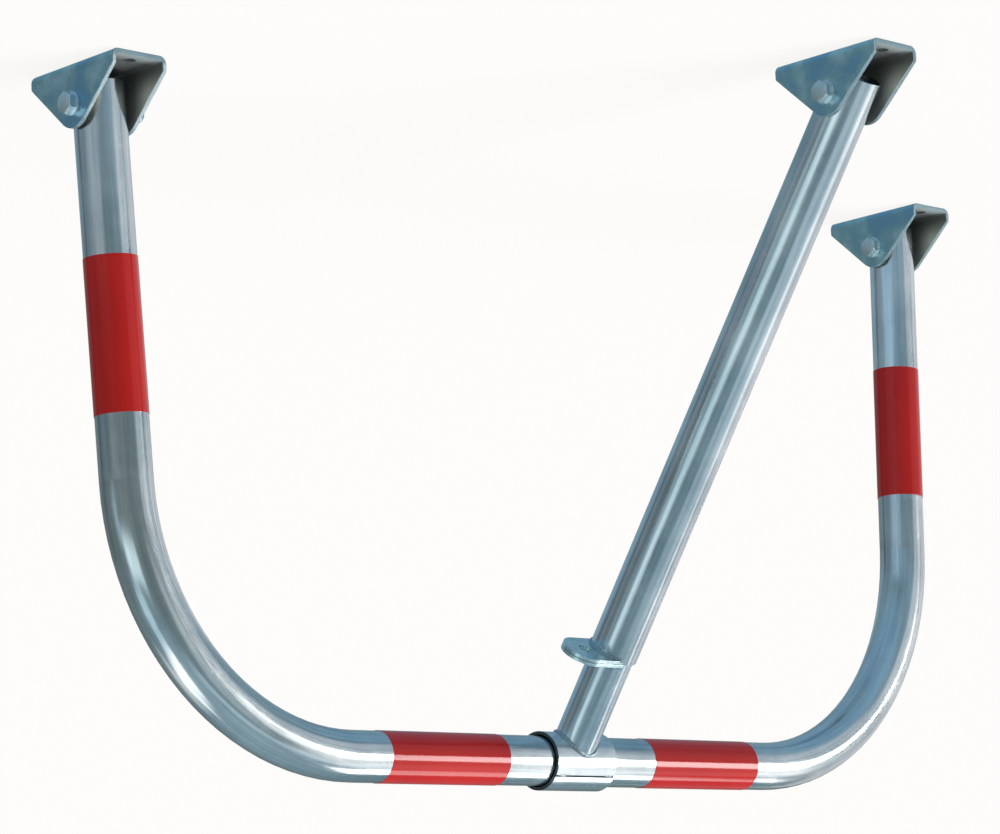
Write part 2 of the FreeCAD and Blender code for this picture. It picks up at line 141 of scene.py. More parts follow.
# Small helpers for the material node trees.
def newTree(name):
    material = bpy.data.materials.new(name)
    material.use_nodes = True
    tree = material.node_tree
    place = tree.nodes.new("ShaderNodeTexCoord")
    return material, tree, tree.nodes["Principled BSDF"], place.outputs["Object"]


def opaque(colour):
    return (*colour, 1.0)


def plug(tree, socket, value):
    if isinstance(value, bpy.types.NodeSocket):
        tree.links.new(value, socket)
    else:
        socket.default_value = value


def calc(tree, operation, first, second=0.0):
    node = tree.nodes.new("ShaderNodeMath")
    node.operation = operation
    plug(tree, node.inputs[0], first)
    plug(tree, node.inputs[1], second)
    return node.outputs[0]


def axes(tree, vector):
    node = tree.nodes.new("ShaderNodeSeparateXYZ")
    plug(tree, node.inputs[0], vector)
    return node.outputs


def noise(tree, vector, scale, detail, roughness=0.5):
    node = tree.nodes.new("ShaderNodeTexNoise")
    plug(tree, node.inputs["Vector"], vector)
    node.inputs["Scale"].default_value = scale
    node.inputs["Detail"].default_value = detail
    node.inputs["Roughness"].default_value = roughness
    return node.outputs["Fac"]


def spread(tree, value, low, high, toLow, toHigh):
    node = tree.nodes.new("ShaderNodeMapRange")
    node.interpolation_type = "SMOOTHSTEP"
    plug(tree, node.inputs["Value"], value)
    for socket, number in (("From Min", low), ("From Max", high), ("To Min", toLow), ("To Max", toHigh)):
        node.inputs[socket].default_value = number
    return node.outputs["Result"]


def tint(tree, value, stops):
    node = tree.nodes.new("ShaderNodeValToRGB")
    plug(tree, node.inputs["Fac"], value)
    ramp = node.color_ramp
    while len(ramp.elements) < len(stops):
        ramp.elements.new(1.0)
    for element, (position, colour) in zip(ramp.elements, stops):
        element.position = position
        element.color = opaque(colour)
    return node.outputs["Color"]


def mixed(tree, share, first, second):
    node = tree.nodes.new("ShaderNodeMix")
    node.data_type = "RGBA"
    plug(tree, node.inputs[0], share)
    plug(tree, node.inputs[6], first)  # 6, 7 and output 2 are the node's colour sockets
    plug(tree, node.inputs[7], second)
    return node.outputs[2]


def stretch(tree, vector, rotation, scale):
    node = tree.nodes.new("ShaderNodeMapping")
    plug(tree, node.inputs["Vector"], vector)
    node.inputs["Rotation"].default_value = rotation
    node.inputs["Scale"].default_value = scale
    return node.outputs["Vector"]


def bump(tree, height, strength, distance):
    node = tree.nodes.new("ShaderNodeBump")
    node.inputs["Strength"].default_value = strength
    node.inputs["Distance"].default_value = distance
    plug(tree, node.inputs["Height"], height)
    return node.outputs["Normal"]


# Lines from drawing run along a tube and round its bends, so the hoop's pattern is laid out along the hoop.
hoopLine = {"bendRadius": 0.219, "bendStart": 0.2464, "legSplay": math.radians(2.9)}
drawnOut = {"tube": 0.03, "plate": 0.06}  # scale along the lines, against 1 across them


def alongHoop(tree, vector):
    x, y, z = axes(tree, vector)
    side = calc(tree, "ABSOLUTE", x)
    height = calc(tree, "SUBTRACT", z, crownMiddle.z - hoopLine["bendRadius"])
    below = calc(tree, "MAXIMUM", calc(tree, "MULTIPLY", height, -1.0), 0.0)
    lean = calc(tree, "MULTIPLY", below, math.tan(hoopLine["legSplay"]))
    out = calc(tree, "SUBTRACT", calc(tree, "SUBTRACT", side, hoopLine["bendStart"]), lean)
    corner = calc(tree, "ADD", calc(tree, "POWER", calc(tree, "MAXIMUM", out, 0.0), 2.0),
                  calc(tree, "POWER", calc(tree, "MAXIMUM", height, 0.0), 2.0))
    flat = calc(tree, "MINIMUM", calc(tree, "MAXIMUM", out, height), 0.0)
    across = calc(tree, "ADD", calc(tree, "SQRT", corner), flat)
    along = calc(tree, "MULTIPLY", calc(tree, "SUBTRACT", side, z), drawnOut["tube"])
    join = tree.nodes.new("ShaderNodeCombineXYZ")
    for socket, value in zip(join.inputs, (y, across, along)):
        plug(tree, socket, value)
    return join.outputs[0]


# Turned by one node and stretched by the next, because a single node would stretch before it turns.
def alongStrut(tree, vector):
    upright = stretch(tree, vector, (strutLean, 0, 0), (1, 1, 1))
    return stretch(tree, upright, (0, 0, 0), (1, 1, drawnOut["tube"]))


def alongPlate(tree, vector):
    return stretch(tree, vector, (0, 0, 0), (1, drawnOut["plate"], 1))


def allWays(tree, vector):
    return vector


# Bright zinc plating: a cloudy blue to warm tint, fine lines from drawing or rolling, and dull flecks.
zincLooks = {
    "zincHoop": {"layout": alongHoop, "cool": (0.49, 0.56, 0.59), "warm": (0.88, 0.90, 0.90),
                 "shine": 0.12, "dull": 0.18, "lines": 0.30},
    "zincStrut": {"layout": alongStrut, "cool": (0.49, 0.57, 0.61), "warm": (0.88, 0.91, 0.92),
                  "shine": 0.12, "dull": 0.18, "lines": 0.30},
    "zincInner": {"layout": alongStrut, "cool": (0.47, 0.56, 0.62), "warm": (0.88, 0.93, 0.96),
                  "shine": 0.17, "dull": 0.23, "lines": 0.30},
    "zincLug": {"layout": allWays, "cool": (0.50, 0.69, 0.71), "warm": (0.80, 0.92, 0.94),
                "shine": 0.16, "dull": 0.26, "lines": 0.30},
    "zincClasp": {"layout": allWays, "cool": (0.68, 0.75, 0.78), "warm": (0.84, 0.87, 0.88),
                  "shine": 0.14, "dull": 0.20, "lines": 0.24,
                  "seam": (0.07, 0.08, 0.08), "seamEdge": (0.0007, 0.0011), "seamRough": 0.3,
                  # The dark end colour below is painted shade on the shells' cut end faces.
                  "endShade": (0.13, 0.145, 0.15), "endShadeEdge": (0.0004, 0.0001)},
    "zincHardware": {"layout": allWays, "cool": (0.72, 0.80, 0.84), "warm": (0.90, 0.93, 0.94),
                     "shine": 0.20, "dull": 0.34, "lines": 0.48},
}
# What all plated pieces share. Scales are per metre, and ranges are stretches of a noise's values.
plating = {"lineScale": 900.0, "streakScale": 140.0, "cloudScale": 16.0, "fleckScale": 1400.0,
           "fineDetail": 4.0, "streakDetail": 3.0, "fleckDetail": 2.0, "grit": 0.6,
           "cloudRange": (0.3, 0.7), "lineRange": (0.35, 0.75), "fleckRange": (0.55, 0.75),
           "lineRough": 0.05, "fleckRough": 0.05, "lineHeight": 0.35, "depth": 0.0002,
           "cloudShare": 0.4, "streakShare": 0.6, "coolStop": 0.36, "warmStop": 0.62}


def platedFinish(tree, shader, place, look):
    layout = look["layout"](tree, place)
    lines = noise(tree, layout, plating["lineScale"], plating["fineDetail"])
    streaks = noise(tree, layout, plating["streakScale"], plating["streakDetail"], plating["grit"])
    clouds = noise(tree, place, plating["cloudScale"], plating["fineDetail"], plating["grit"])
    flecks = noise(tree, place, plating["fleckScale"], plating["fleckDetail"])
    clouded = spread(tree, clouds, *plating["cloudRange"], look["shine"], look["dull"])
    lined = spread(tree, lines, *plating["lineRange"], 0.0, plating["lineRough"])
    flecked = spread(tree, flecks, *plating["fleckRange"], 0.0, plating["fleckRough"])
    rough = calc(tree, "ADD", calc(tree, "ADD", clouded, lined), flecked)
    shader.inputs["Metallic"].default_value = 1.0
    height = calc(tree, "ADD", calc(tree, "MULTIPLY", lines, plating["lineHeight"]), streaks)
    plug(tree, shader.inputs["Normal"], bump(tree, height, look["lines"], plating["depth"]))
    return clouds, streaks, rough


def makeZinc(name, look):
    material, tree, shader, place = newTree(name)
    clouds, streaks, rough = platedFinish(tree, shader, place, look)
    tone = calc(tree, "ADD", calc(tree, "MULTIPLY", clouds, plating["cloudShare"]),
                calc(tree, "MULTIPLY", streaks, plating["streakShare"]))
    colour = tint(tree, tone, [(plating["coolStop"], look["cool"]), (plating["warmStop"], look["warm"])])
    if "seam" in look:  # grime in the groove between the two shells, which lies square to the strut
        x, y, z = axes(tree, place)
        offset = calc(tree, "ADD", calc(tree, "MULTIPLY", y, strutAxis.y),
                      calc(tree, "MULTIPLY", calc(tree, "SUBTRACT", z, crownMiddle.z), strutAxis.z))
        groove = spread(tree, calc(tree, "ABSOLUTE", offset), *look["seamEdge"], 1.0, 0.0)
        colour = mixed(tree, groove, colour, opaque(look["seam"]))
        # Painted shade: the shells' cut end faces are painted dark, as if in shadow.
        endShadeStart, endShadeFull = (collarHalf - edge for edge in look["endShadeEdge"])  # the shells' dark cut ends
        end = spread(tree, calc(tree, "ABSOLUTE", x), endShadeStart, endShadeFull, 0.0, 1.0)
        colour = mixed(tree, end, colour, opaque(look["endShade"]))
        rough = calc(tree, "ADD", rough, calc(tree, "MULTIPLY", groove, look["seamRough"]))
    plug(tree, shader.inputs["Base Color"], colour)
    plug(tree, shader.inputs["Roughness"], rough)
    return material


# Bracket plate: bluer than the tubes, grey where it was sheared, with a painted highlight on the right
# bracket's sheared cheek edges, dull and with painted shade deep inside the channel.
plateLook = {"layout": alongPlate, "shine": 0.22, "dull": 0.32, "lines": 0.36, "wall": 0.004,
             "cool": (0.31, 0.54, 0.68), "green": (0.42, 0.64, 0.66), "warm": (0.62, 0.84, 0.86),
             "patches": 34.0, "patchDetail": 3.0, "patchStops": (0.40, 0.52, 0.65),
             # The colours of the channel's inside are painted shade: dark deep inside, lighter towards the
             # mouths.
             "cheekShadeDeep": (0.085, 0.094, 0.090), "cheekLitMouth": (0.74, 0.80, 0.70),
             "floorShadeDeep": (0.13, 0.142, 0.142), "floorLitMouth": (0.40, 0.46, 0.46),
             "cheekEdge": (0.0002, 0.0006), "floorEdge": (0.0003, 0.0012),
             "mouth": (0.034, 0.052), "litAlong": (0.012, 0.036), "litUp": (0.008, 0.030), "unlit": 0.1,
             "baseCut": (0.30, 0.40, 0.43), "rimEdge": (0.0012, 0.0017), "endEdge": (0.0006, 0.0002),
             "insideMetal": 0.1, "cutRough": 0.25}
# Tone of each bracket's sheared cheek edges: the grey of cut steel, painted much lighter on the right
# bracket as a painted highlight.
platePlans = {"plateLeft": {"node": "hoop_foot_left", "cut": (0.34, 0.42, 0.46)},
              "plateRight": {"node": "hoop_foot_right", "cut": (0.66, 0.72, 0.74)},
              "plateFront": {"node": "strut_foot", "cut": (0.34, 0.42, 0.46)}}


def makePlate(name, plan):
    low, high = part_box(plan["node"])
    middle = (low + high) / 2
    half = (high - low) / 2
    wall = plateLook["wall"]
    material, tree, shader, place = newTree(name)
    rough = platedFinish(tree, shader, place, plateLook)[-1]
    x, y, z = axes(tree, place)
    across = calc(tree, "ABSOLUTE", calc(tree, "SUBTRACT", x, middle.x))
    along = calc(tree, "ABSOLUTE", calc(tree, "SUBTRACT", y, middle.y))
    # Painted shade inside the channel: cheeks and floor are painted dark deep inside and lighter towards
    # its two mouths, and the cheeks also lighter towards the top.
    between = spread(tree, across, *(half.x - wall + edge for edge in plateLook["cheekEdge"]), 1.0, 0.0)
    onFloor = spread(tree, z, *(wall + edge for edge in plateLook["floorEdge"]), 1.0, 0.0)
    mouth = spread(tree, along, *plateLook["mouth"], 0.0, 1.0)
    lit = calc(tree, "MULTIPLY", spread(tree, along, *plateLook["litAlong"], plateLook["unlit"], 1.0),
               spread(tree, z, *plateLook["litUp"], plateLook["unlit"], 1.0))
    # Painted shade on the cheeks' inner faces.
    shadedCheek = mixed(tree, lit, opaque(plateLook["cheekShadeDeep"]), opaque(plateLook["cheekLitMouth"]))
    floor = mixed(tree, mouth, opaque(plateLook["floorShadeDeep"]), opaque(plateLook["floorLitMouth"]))
    inside = mixed(tree, onFloor, shadedCheek, floor)
    patches = noise(tree, place, plateLook["patches"], plateLook["patchDetail"])
    shades = [plateLook[shade] for shade in ("cool", "green", "warm")]
    clean = tint(tree, patches, list(zip(plateLook["patchStops"], shades)))
    # A point strictly within the wall of a cheek, or at the very end of the base, lies on a sheared edge.
    offMiddle = calc(tree, "ABSOLUTE", calc(tree, "SUBTRACT", across, half.x - wall / 2))
    inWall = spread(tree, offMiddle, *plateLook["rimEdge"], 1.0, 0.0)
    raised = spread(tree, z, wall, wall * 2, 0.0, 1.0)
    atEnd = spread(tree, along, *(half.y - edge for edge in plateLook["endEdge"]), 0.0, 1.0)
    rim = calc(tree, "MULTIPLY", inWall, raised)
    cut = calc(tree, "MAXIMUM", rim, atEnd)
    # Sheared edges: the grey of cut steel, with a painted highlight on the right bracket's cheek edges.
    cutToneAndHighlight = mixed(tree, rim, opaque(plateLook["baseCut"]), opaque(plan["cut"]))
    colour = mixed(tree, cut, mixed(tree, between, clean, inside), cutToneAndHighlight)
    dim = calc(tree, "MULTIPLY", between, calc(tree, "SUBTRACT", 1.0, cut))
    dulled = calc(tree, "MULTIPLY", calc(tree, "MAXIMUM", dim, cut), plateLook["cutRough"])
    plug(tree, shader.inputs["Base Color"], colour)
    plug(tree, shader.inputs["Metallic"], spread(tree, dim, 0.0, 1.0, 1.0, plateLook["insideMetal"]))
    plug(tree, shader.inputs["Roughness"], calc(tree, "ADD", rough, dulled))
    return material


# Red reflective film: a glossy face over fine beads, with a slow drift of tone.
tapeLook = {"deep": (0.55, 0.008, 0.008), "bright": (0.68, 0.015, 0.009), "range": (0.3, 0.7),
            "driftScale": 9.0, "driftDetail": 2.0, "driftShare": 0.8, "rough": (0.30, 0.40),
            "beadScale": 1600.0, "beadDetail": 1.0, "beadShare": 0.2, "beadBump": 0.06, "beadDepth": 0.0001,
            "coatRough": 0.11, "coatIor": 1.47}


def makeTape():
    material, tree, shader, place = newTree("redTape")
    drift = noise(tree, place, tapeLook["driftScale"], tapeLook["driftDetail"])
    beads = noise(tree, place, tapeLook["beadScale"], tapeLook["beadDetail"])
    tone = calc(tree, "ADD", calc(tree, "MULTIPLY", drift, tapeLook["driftShare"]),
                calc(tree, "MULTIPLY", beads, tapeLook["beadShare"]))
    low, high = tapeLook["range"]
    colour = tint(tree, tone, [(low, tapeLook["deep"]), (high, tapeLook["bright"])])
    plug(tree, shader.inputs["Base Color"], colour)
    plug(tree, shader.inputs["Roughness"], spread(tree, drift, low, high, *tapeLook["rough"]))
    shader.inputs["Specular IOR Level"].default_value = 0.0
    shader.inputs["Coat Weight"].default_value = 1.0
    shader.inputs["Coat Roughness"].default_value = tapeLook["coatRough"]
    shader.inputs["Coat IOR"].default_value = tapeLook["coatIor"]
    plug(tree, shader.inputs["Normal"], bump(tree, beads, tapeLook["beadBump"], tapeLook["beadDepth"]))
    return material


# Weld metal under the plating: rippled, greyer and less shiny.
weldLook = {"dark": (0.36, 0.42, 0.45), "light": (0.60, 0.65, 0.67), "darkStop": 0.3, "lightStop": 0.75,
            "grainScale": 700.0, "grainDetail": 4.0, "range": (0.3, 0.7), "rough": (0.24, 0.40),
            "bump": 0.25, "depth": 0.0004}


def makeWeld():
    material, tree, shader, place = newTree("weldMetal")
    grains = noise(tree, place, weldLook["grainScale"], weldLook["grainDetail"])
    stops = [(weldLook["darkStop"], weldLook["dark"]), (weldLook["lightStop"], weldLook["light"])]
    plug(tree, shader.inputs["Base Color"], tint(tree, grains, stops))
    shader.inputs["Metallic"].default_value = 1.0
    plug(tree, shader.inputs["Roughness"], spread(tree, grains, *weldLook["range"], *weldLook["rough"]))
    plug(tree, shader.inputs["Normal"], bump(tree, grains, weldLook["bump"], weldLook["depth"]))
    return material


# Insert of a lock nut: pale blue nylon, slightly mottled.
nylonLook = {"dark": (0.30, 0.42, 0.60), "light": (0.42, 0.54, 0.70), "range": (0.3, 0.7),
             "grainScale": 500.0, "grainDetail": 3.0, "rough": (0.38, 0.5)}


def makeNylon():
    material, tree, shader, place = newTree("nylonInsert")
    grain = noise(tree, place, nylonLook["grainScale"], nylonLook["grainDetail"])
    low, high = nylonLook["range"]
    colour = tint(tree, grain, [(low, nylonLook["dark"]), (high, nylonLook["light"])])
    plug(tree, shader.inputs["Base Color"], colour)
    plug(tree, shader.inputs["Roughness"], spread(tree, grain, low, high, *nylonLook["rough"]))
    return material


looks = {name: makeZinc(name, look) for name, look in zincLooks.items()}
for name, plan in platePlans.items():
    looks[name] = makePlate(name, plan)
looks["redTape"] = makeTape()
looks["weldMetal"] = makeWeld()
looks["nylonInsert"] = makeNylon()
print("materials made,", len(looks))

# A node's look goes by its whole name, or else by the first word of it.
nodeLooks = {"hoop": "zincHoop", "strut": "zincStrut", "strut_inner_tube": "zincInner", "band": "redTape",
             "collar": "zincClasp", "inner": "zincLug", "outer": "zincLug"}
for name, node in nodes.items():
    node.visible_glossy = not name.startswith("band")  # the photo shows no red mirrored in the tubes
    node.data.materials.clear()
    family = nodeLooks.get(name.split("_")[0], "zincHardware")
    node.data.materials.append(looks[nodeLooks.get(name, family)])

# Pressed, sheared and turned pieces get their edges softened on a copy of the solid.
softEdges = {
    "hoop_foot_left": {"piece": "bracketLeft", "body": "ground_feet", "slot": "zinc_plate",
                       "look": "plateLeft", "edge": 0.0006},
    "hoop_foot_right": {"piece": "bracketRight", "body": "ground_feet", "slot": "zinc_plate",
                        "look": "plateRight", "edge": 0.0006},
    "strut_foot": {"piece": "bracketFront", "body": "ground_feet", "slot": "zinc_plate",
                   "look": "plateFront", "edge": 0.0006},
    "outer_lug": {"piece": "lugLower", "body": "strut_lower", "slot": "zinc_tube",
                  "look": "zincLug", "edge": 0.0005},
    "inner_lug": {"piece": "lugUpper", "body": "strut_upper", "slot": "zinc_tube",
                  "look": "zincLug", "edge": 0.0005},
    "collar_upper_half": {"piece": "collarUpper", "body": "strut_upper", "slot": "zinc_tube",
                          "look": "zincClasp", "edge": 0.0003},
    "collar_lower_half": {"piece": "collarLower", "body": "strut_upper", "slot": "zinc_tube",
                          "look": "zincClasp", "edge": 0.0003},
    "washers_left": {"piece": "washersLeft", "body": "ground_feet", "slot": "zinc_hardware",
                     "look": "zincHardware", "edge": 0.0002},
    "washers_right": {"piece": "washersRight", "body": "ground_feet", "slot": "zinc_hardware",
                      "look": "zincHardware", "edge": 0.0002},
    "washers_strut": {"piece": "washersFront", "body": "ground_feet", "slot": "zinc_hardware",
                      "look": "zincHardware", "edge": 0.0002},
    "lock_nut_left": {"piece": "nutLeft", "body": "ground_feet", "slot": "zinc_hardware",
                      "look": "zincHardware", "edge": 0.00025},
    "lock_nut_right": {"piece": "nutRight", "body": "ground_feet", "slot": "zinc_hardware",
                       "look": "zincHardware", "edge": 0.00025},
    "lock_nut_strut": {"piece": "nutFront", "body": "ground_feet", "slot": "zinc_hardware",
                       "look": "zincHardware", "edge": 0.00025},
}
edgeStyle = {"merge": 0.000005, "flat": math.radians(0.5), "sharp": math.radians(40), "segments": 3}


# Planes through the middle of each hole, so that no flat face is left with a hole in it.
def holeCuts(nodeName):
    low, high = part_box(nodeName)
    middle = (low + high) / 2
    if "lug" in nodeName:
        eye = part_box("inner_lug")[1].x - lugRound
        return [((eye, 0, 0), (1, 0, 0)), (crownMiddle, (0, strutAxis.z, -strutAxis.y))]
    if nodeName.startswith("collar"):
        return []
    cuts = [((0, middle.y, 0), (0, 1, 0)), ((0, 0, pivots["hoop_fold"].z), (0, 0, 1))]
    if "foot" in nodeName:
        cuts += [((middle.x, 0, 0), (1, 0, 0)), ((0, middle.y - anchorOffset, 0), (0, 1, 0)),
                 ((0, middle.y + anchorOffset, 0), (0, 1, 0))]
    return cuts


def copyNode(nodeName):
    piece = copyPiece(nodes[nodeName])
    editAll(piece)
    bpy.ops.mesh.customdata_custom_splitnormals_clear()
    bpy.ops.mesh.remove_doubles(threshold=edgeStyle["merge"])
    for point, normal in holeCuts(nodeName):
        bpy.ops.mesh.select_all(action="SELECT")
        bpy.ops.mesh.bisect(plane_co=point, plane_no=normal)
        bpy.ops.mesh.mark_seam()
    bpy.ops.mesh.select_all(action="SELECT")
    bpy.ops.mesh.dissolve_limited(angle_limit=edgeStyle["flat"], delimit={"SEAM"})
    bpy.ops.object.mode_set(mode="OBJECT")
    bpy.ops.object.shade_smooth()
    return piece


def softenEdges(piece, width):
    makeActive(piece)
    bevel = piece.modifiers.new("softEdge", "BEVEL")
    bevel.width = width
    bevel.segments = edgeStyle["segments"]
    bevel.limit_method = "ANGLE"
    bevel.angle_limit = edgeStyle["sharp"]
    bevel.harden_normals = True
    applyModifiers(piece)


for nodeName, plan in softEdges.items():
    piece = copyNode(nodeName)
    softenEdges(piece, plan["edge"])
    settle(piece, plan["piece"], plan["body"], plan["look"])
    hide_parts(nodeName)
print("edges softened on", len(softEdges), "pieces")

# Bolts: the plain tip is cut off at the nut and a threaded one is turned in its place.
boltPlan = {"edge": 0.00025, "pitch": 0.0015, "root": 0.0041, "crest": 0.005, "chamfer": 0.001,
            "sunk": 0.001, "steps": 40, "merge": 0.00001, "sharp": math.radians(25)}


def turnThread(tip, seat, middle):
    deselectAll()
    bpy.ops.mesh.primitive_plane_add(size=boltPlan["pitch"], location=(0, 0, 0))
    thread = bpy.context.object
    editAll(thread)
    bpy.ops.mesh.merge(type="CENTER")  # one point, which draws the profile
    crest, root = boltPlan["crest"], boltPlan["root"]
    profile = [(tip, 0), (tip, crest - boltPlan["chamfer"]), (tip + boltPlan["chamfer"], crest)]
    x = tip + boltPlan["chamfer"]
    while x < seat:
        profile += [(x + boltPlan["pitch"] / 2, root), (x + boltPlan["pitch"], crest)]
        x += boltPlan["pitch"]
    profile += [(x + boltPlan["sunk"], crest), (x + boltPlan["sunk"], 0)]
    bpy.ops.transform.translate(value=(profile[0][0], 0, 0))
    for start, end in zip(profile, profile[1:]):
        move = (end[0] - start[0], 0, end[1] - start[1])
        bpy.ops.mesh.extrude_region_move(TRANSFORM_OT_translate={"value": move})
    bpy.ops.mesh.select_all(action="SELECT")
    bpy.ops.mesh.spin(steps=boltPlan["steps"], angle=math.tau, center=(0, 0, 0), axis=(1, 0, 0))
    bpy.ops.mesh.select_all(action="SELECT")
    bpy.ops.mesh.remove_doubles(threshold=boltPlan["merge"])
    bpy.ops.mesh.normals_make_consistent(inside=False)
    bpy.ops.object.mode_set(mode="OBJECT")
    bpy.ops.object.shade_smooth_by_angle(angle=boltPlan["sharp"])
    thread.location = (0, middle.y, middle.z)
    makeActive(thread)
    bpy.ops.object.transform_apply(location=True, rotation=True, scale=True)
    return thread


def makeBolt(nodeName, nutName, name):
    low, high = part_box(nodeName)
    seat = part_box(nutName)[0].x  # outer end of the nut
    bolt = copyNode(nodeName)
    editAll(bolt)
    bpy.ops.mesh.bisect(plane_co=(seat + boltPlan["sunk"], 0, 0), plane_no=(1, 0, 0), clear_inner=True,
                        use_fill=True)
    bpy.ops.object.mode_set(mode="OBJECT")
    softenEdges(bolt, boltPlan["edge"])
    thread = turnThread(low.x, seat, (low + high) / 2)
    makeActive(bolt)
    thread.select_set(True)
    bpy.ops.object.join()
    settle(bolt, name, "ground_feet", "zincHardware")
    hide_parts(nodeName)


# Nylon ring in the end of each lock nut, standing a little proud of the metal.
insertPlan = {"middle": 0.0056, "thick": 0.0009, "flat": 0.6, "proud": 0.0002, "rows": 48, "sides": 12}


def turnInsert():
    deselectAll()
    bpy.ops.mesh.primitive_torus_add(major_radius=insertPlan["middle"], minor_radius=insertPlan["thick"],
                                     major_segments=insertPlan["rows"], minor_segments=insertPlan["sides"],
                                     location=(0, 0, 0), rotation=(0, math.pi / 2, 0))
    ring = bpy.context.object
    bpy.ops.object.transform_apply(location=True, rotation=True, scale=True)
    editAll(ring)
    bpy.ops.transform.resize(value=(insertPlan["flat"], 1, 1), center_override=(0, 0, 0))
    bpy.ops.object.mode_set(mode="OBJECT")
    bpy.ops.object.shade_smooth()
    return ring


def seatInsert(ring, nutName, name):
    low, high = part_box(nutName)
    middle = (low + high) / 2
    depth = insertPlan["thick"] * insertPlan["flat"] - insertPlan["proud"]
    ring.location = (low.x + depth, middle.y, middle.z)
    settle(ring, name, "ground_feet", "nylonInsert")


insert = turnInsert()
for foot, end in (("left", "Left"), ("right", "Right"), ("strut", "Front")):
    makeBolt(f"pivot_bolt_{foot}", f"lock_nut_{foot}", "bolt" + end)
    seatInsert(copyPiece(insert), f"lock_nut_{foot}", "insert" + end)
discard(insert)
print("bolts and inserts made")

# Weld beads: a ring of metal with every few rows drawn in, so that it ripples as a laid bead does.
beadOffset = 0.0003  # from a lug's face to the middle of its bead
beadPlans = {
    "weldSaddle": {"radius": innerRadius, "thick": 0.0021, "body": "strut_upper", "keep": None,
                   "place": 0.0},
    "weldLugLower": {"radius": tubeRadius, "thick": 0.0017, "body": "strut_lower",
                     "keep": math.radians(66), "place": strutReach("outer_lug")[0] - beadOffset},
    "weldLugUpper": {"radius": innerRadius, "thick": 0.0016, "body": "strut_upper",
                     "keep": math.radians(78), "place": strutReach("inner_lug")[1] + beadOffset},
}
ripple = {"rows": 176, "sides": 12, "every": 4, "draw": 0.00032}


def layBead(name, plan):
    deselectAll()
    bpy.ops.mesh.primitive_torus_add(major_radius=plan["radius"], minor_radius=plan["thick"],
                                     major_segments=ripple["rows"], minor_segments=ripple["sides"],
                                     location=(0, 0, 0))
    bead = bpy.context.object
    editAll(bead)
    step = math.tau / ripple["rows"]
    pickPoints(bead, lambda point: round(math.atan2(point.y, point.x) / step) % ripple["every"] == 0)
    bpy.ops.transform.shrink_fatten(value=-ripple["draw"])
    bpy.ops.mesh.select_all(action="SELECT")
    if plan["keep"]:
        edge = plan["radius"] * math.cos(plan["keep"])
        bpy.ops.mesh.bisect(plane_co=(edge, 0, 0), plane_no=(1, 0, 0), clear_inner=True, use_fill=True)
        bpy.ops.mesh.select_all(action="SELECT")
    bpy.ops.transform.translate(value=(0, 0, plan["place"]))
    bpy.ops.object.mode_set(mode="OBJECT")
    if not plan["keep"]:
        for point in bead.data.vertices:  # down onto the round of the collar
            turn = math.atan2(point.co.y, point.co.x)
            point.co.z -= math.sqrt(collarRadius ** 2 - (plan["radius"] * math.sin(turn)) ** 2)
    bpy.ops.object.shade_smooth()
    leanWithStrut(bead)
    settle(bead, name, plan["body"], "weldMetal")


for name, plan in beadPlans.items():
    layBead(name, plan)

# Tacks that hold the two half shells of the collar, at both ends of both seams.
tackPlan = {"length": 0.0045, "width": 0.0015, "height": 0.0011, "inset": 0.0075, "sunk": 0.0003,
            "sides": 20, "rings": 24, "every": 3, "first": 1, "draw": 0.00022}


def shapeTack():
    deselectAll()
    bpy.ops.mesh.primitive_uv_sphere_add(segments=tackPlan["sides"], ring_count=tackPlan["rings"],
                                         radius=1.0, location=(0, 0, 0), rotation=(0, math.pi / 2, 0))
    tack = bpy.context.object
    bpy.ops.object.transform_apply(location=True, rotation=True, scale=True)
    editAll(tack)
    bpy.ops.transform.resize(value=(tackPlan["length"], tackPlan["height"], tackPlan["width"]),
                             center_override=(0, 0, 0))
    step = math.pi / tackPlan["rings"]

    def drawnIn(point):
        share = max(-1, min(1, point.x / tackPlan["length"]))
        return round(math.acos(share) / step) % tackPlan["every"] == tackPlan["first"]

    pickPoints(tack, drawnIn)
    bpy.ops.transform.shrink_fatten(value=-tackPlan["draw"])
    bpy.ops.object.mode_set(mode="OBJECT")
    bpy.ops.object.shade_smooth()
    return tack


def layTack(tack, name, end, side):
    place = (end * (collarHalf - tackPlan["inset"]), side * (collarRadius - tackPlan["sunk"]), 0)
    editAll(tack)
    bpy.ops.transform.translate(value=place)
    bpy.ops.object.mode_set(mode="OBJECT")
    leanWithStrut(tack)
    settle(tack, name, "strut_upper", "weldMetal")


tack = shapeTack()
for end, endName in ((1, "Right"), (-1, "Left")):
    for side, sideName in ((-1, "Front"), (1, "Rear")):
        layTack(copyPiece(tack), "tack" + sideName + endName, end, side)
discard(tack)
print("welds laid")

# Overlap of the tape: a second layer where each band's end laps over its start, at the back of the tube.
lapPlan = {"thick": 0.00025, "sunk": 0.0002, "edge": 0.0001, "arc": math.radians(34), "sides": 144,
           "inset": 0.0004}


def layLap(name, axis, start, end):
    length = (end - start).length - 2 * lapPlan["inset"]
    radius = bandRadius + lapPlan["thick"]
    deselectAll()
    bpy.ops.mesh.primitive_cylinder_add(vertices=lapPlan["sides"], radius=radius, depth=length,
                                        end_fill_type="NOTHING")
    lap = bpy.context.object
    editAll(lap)
    pickFaces(lap, lambda face: math.atan2(abs(face.center.x), face.center.y) > lapPlan["arc"] / 2)
    bpy.ops.mesh.delete(type="FACE")
    bpy.ops.object.mode_set(mode="OBJECT")
    wall = lap.modifiers.new("wall", "SOLIDIFY")
    wall.thickness = lapPlan["thick"] + lapPlan["sunk"]
    wall.offset = -1.0
    softenEdges(lap, lapPlan["edge"])
    lap.rotation_mode = "QUATERNION"
    lap.rotation_quaternion = Vector((0, 0, 1)).rotation_difference(axis)
    lap.location = (start + end) / 2
    settle(lap, name, "hoop", "redTape")


